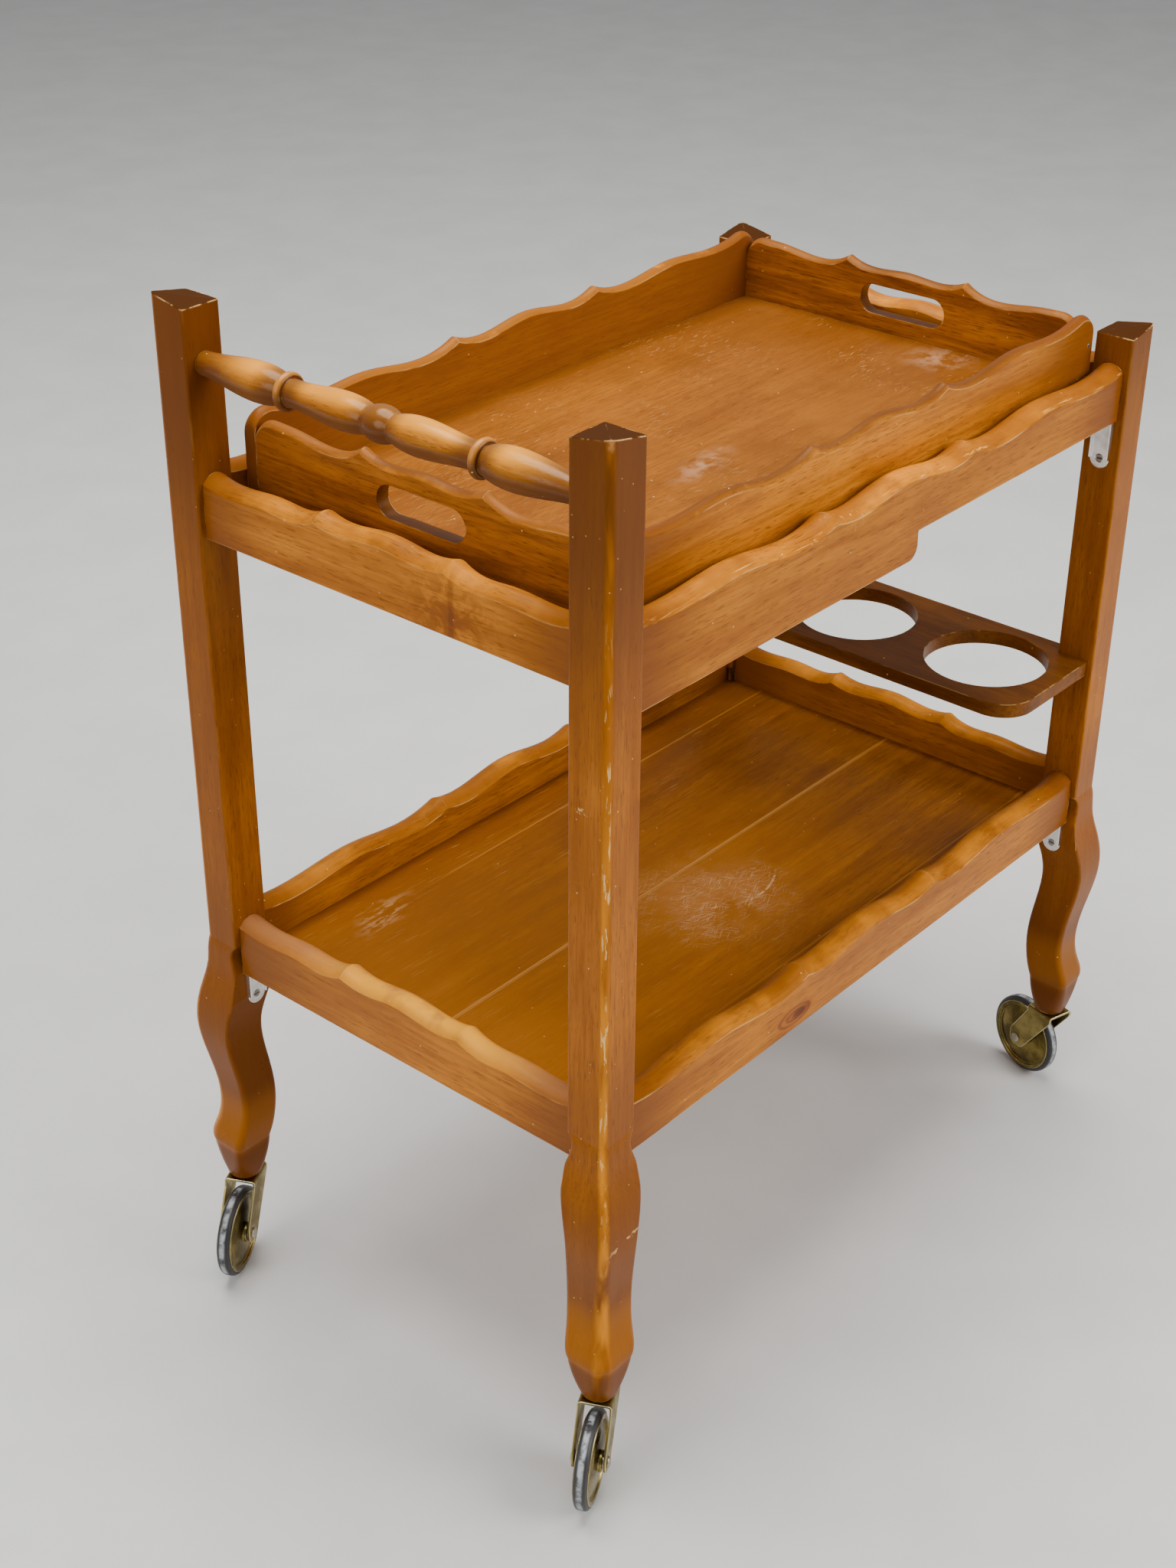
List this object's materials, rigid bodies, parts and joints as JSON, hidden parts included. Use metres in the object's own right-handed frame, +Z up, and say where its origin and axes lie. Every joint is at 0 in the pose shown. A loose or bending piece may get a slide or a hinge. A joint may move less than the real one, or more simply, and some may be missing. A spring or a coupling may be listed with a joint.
{
  "type": "serving trolley",
  "caption": "Wooden bar cart on swivel casters with scalloped rails, a lift-off tray, a lower shelf, a bottle rack and a turned push handle.",
  "frame": {"origin": "on the floor, under the middle of the cart", "axes": "+Z up, +X along the cart from the push handle to the bottle rack, +Y to the back long side"},
  "size_m": [0.6858, 0.4082, 0.7567],
  "materials": {
    "frame_wood": "amber-brown stain under satin varnish, pale worn edges",
    "handle_wood": "honey-brown stain under glossy varnish",
    "shelf_wood": "amber-brown stain under satin varnish, scuffed in the middle",
    "rack_wood": "dark amber-brown stain under satin varnish",
    "tray_wood": "amber-brown stain under satin varnish, pale worn edges",
    "tray_floor_wood": "honey-brown veneer under satin varnish, lightly scratched",
    "hidden_wood": "plain unfinished wood",
    "zinc": "zinc-plated pressed steel",
    "screw_steel": "dull zinc-plated steel",
    "caster_steel": "dull plated steel",
    "caster_brass": "tarnished brass plating",
    "wheel_brass": "tarnished brass plating",
    "tyre_rubber": "black rubber with a worn grey tread"
  },
  "bodies": {
    "frame": {"post_handle_front": "frame_wood", "post_handle_back": "frame_wood", "post_bottle_front": "frame_wood", "post_bottle_back": "frame_wood", "top_rail_front": "frame_wood", "top_rail_back": "frame_wood", "top_rail_handle_end": "frame_wood", "top_rail_bottle_end": "frame_wood", "shelf_rail_front": "frame_wood", "shelf_rail_back": "frame_wood", "shelf_rail_handle_end": "frame_wood", "shelf_rail_bottle_end": "frame_wood", "handle_spindle": "handle_wood", "shelf_board_front": "shelf_wood", "shelf_board_back": "shelf_wood", "bottle_rack": "rack_wood", "tray_cleat_front": "hidden_wood", "tray_cleat_back": "hidden_wood", "rack_dowels": "hidden_wood", "connector_post_plates": "zinc", "connector_rail_plates": "zinc", "connector_post_screws": "screw_steel", "connector_rail_screws": "screw_steel", "caster_handle_front_socket": "caster_steel", "caster_handle_back_socket": "caster_steel", "caster_bottle_front_socket": "caster_steel", "caster_bottle_back_socket": "caster_steel"},
    "tray": {"tray_side_front": "tray_wood", "tray_side_back": "tray_wood", "tray_end_handle": "tray_wood", "tray_end_bottle": "tray_wood", "tray_floor": "tray_floor_wood", "tray_brads": "screw_steel"},
    "fork_handle_front": {"caster_handle_front_stem": "caster_steel", "caster_handle_front_fork": "caster_brass", "caster_handle_front_axle": "caster_steel"},
    "wheel_handle_front": {"caster_handle_front_wheel_bush": "caster_steel", "caster_handle_front_wheel_disc": "wheel_brass", "caster_handle_front_tyre": "tyre_rubber"},
    "fork_handle_back": {"caster_handle_back_stem": "caster_steel", "caster_handle_back_fork": "caster_brass", "caster_handle_back_axle": "caster_steel"},
    "wheel_handle_back": {"caster_handle_back_wheel_bush": "caster_steel", "caster_handle_back_wheel_disc": "wheel_brass", "caster_handle_back_tyre": "tyre_rubber"},
    "fork_bottle_front": {"caster_bottle_front_stem": "caster_steel", "caster_bottle_front_fork": "caster_brass", "caster_bottle_front_axle": "caster_steel"},
    "wheel_bottle_front": {"caster_bottle_front_wheel_bush": "caster_steel", "caster_bottle_front_wheel_disc": "wheel_brass", "caster_bottle_front_tyre": "tyre_rubber"},
    "fork_bottle_back": {"caster_bottle_back_stem": "caster_steel", "caster_bottle_back_fork": "caster_brass", "caster_bottle_back_axle": "caster_steel"},
    "wheel_bottle_back": {"caster_bottle_back_wheel_bush": "caster_steel", "caster_bottle_back_wheel_disc": "wheel_brass", "caster_bottle_back_tyre": "tyre_rubber"}
  },
  "joints": [
    {"name": "tray_lift", "type": "slide", "parent": "frame", "child": "tray", "axis": [0, 0, 1], "range_m": [0, 0.16]},
    {"name": "swivel_handle_front", "type": "hinge", "parent": "frame", "child": "fork_handle_front", "pos_m": [-0.291, -0.175, 0.074], "axis": [0, 0, 1], "continuous": true},
    {"name": "wheel_spin_handle_front", "type": "hinge", "parent": "fork_handle_front", "child": "wheel_handle_front", "pos_m": [-0.31149, -0.18544, 0.034], "axis": [0.454, -0.891, 0], "continuous": true},
    {"name": "swivel_handle_back", "type": "hinge", "parent": "frame", "child": "fork_handle_back", "pos_m": [-0.291, 0.175, 0.074], "axis": [0, 0, 1], "continuous": true},
    {"name": "wheel_spin_handle_back", "type": "hinge", "parent": "fork_handle_back", "child": "wheel_handle_back", "pos_m": [-0.31149, 0.16456, 0.034], "axis": [0.454, -0.891, 0], "continuous": true},
    {"name": "swivel_bottle_front", "type": "hinge", "parent": "frame", "child": "fork_bottle_front", "pos_m": [0.291, -0.175, 0.074], "axis": [0, 0, 1], "continuous": true},
    {"name": "wheel_spin_bottle_front", "type": "hinge", "parent": "fork_bottle_front", "child": "wheel_bottle_front", "pos_m": [0.29734, -0.15289, 0.034], "axis": [-0.9613, 0.2756, 0], "continuous": true},
    {"name": "swivel_bottle_back", "type": "hinge", "parent": "frame", "child": "fork_bottle_back", "pos_m": [0.291, 0.175, 0.074], "axis": [0, 0, 1], "continuous": true},
    {"name": "wheel_spin_bottle_back", "type": "hinge", "parent": "fork_bottle_back", "child": "wheel_bottle_back", "pos_m": [0.31149, 0.18544, 0.034], "axis": [-0.454, 0.891, 0], "continuous": true}
  ]
}
